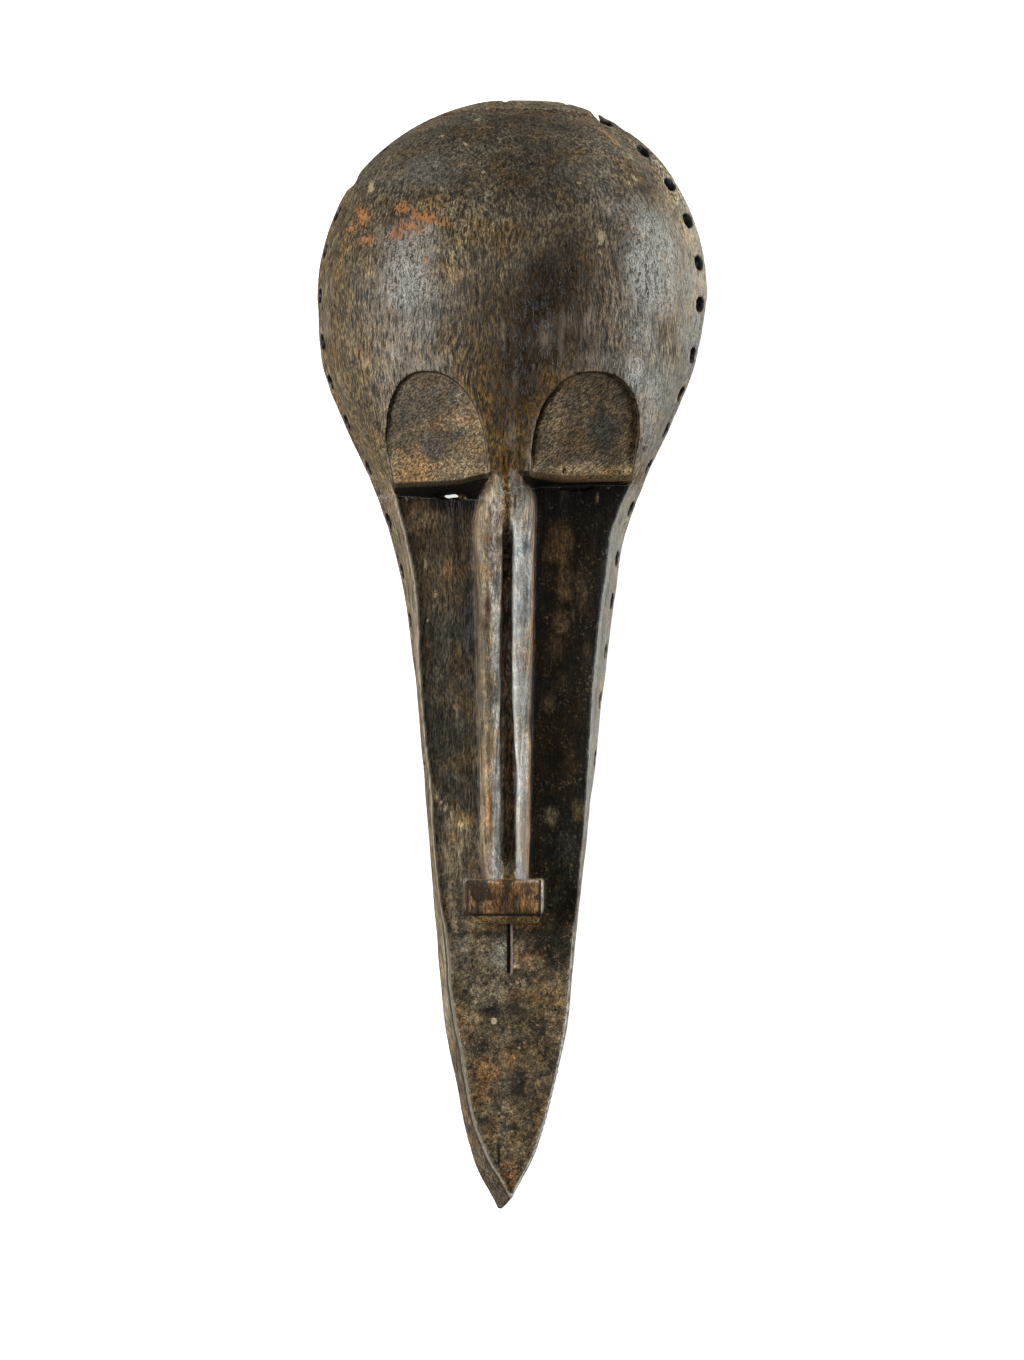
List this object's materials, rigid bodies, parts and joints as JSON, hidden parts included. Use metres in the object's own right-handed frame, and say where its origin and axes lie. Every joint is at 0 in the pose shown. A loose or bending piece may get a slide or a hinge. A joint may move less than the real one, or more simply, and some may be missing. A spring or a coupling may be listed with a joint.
{
  "type": "carved face mask",
  "caption": "Long African wooden face mask with a domed forehead, split ridge nose, block mouth and pointed chin, lying on its hollow back rim.",
  "frame": {"origin": "under the middle of the mask's box, in the plane of its back rim", "axes": "+Z out of the face, +Y from the chin to the crown of the forehead, +X to the viewer's right"},
  "size_m": [0.2187, 0.6204, 0.1],
  "materials": {
    "carved_wood": "hand-carved dark hardwood with a worn, dusty patina"
  },
  "bodies": {
    "root": {"mask": "carved_wood"}
  },
  "joints": []
}
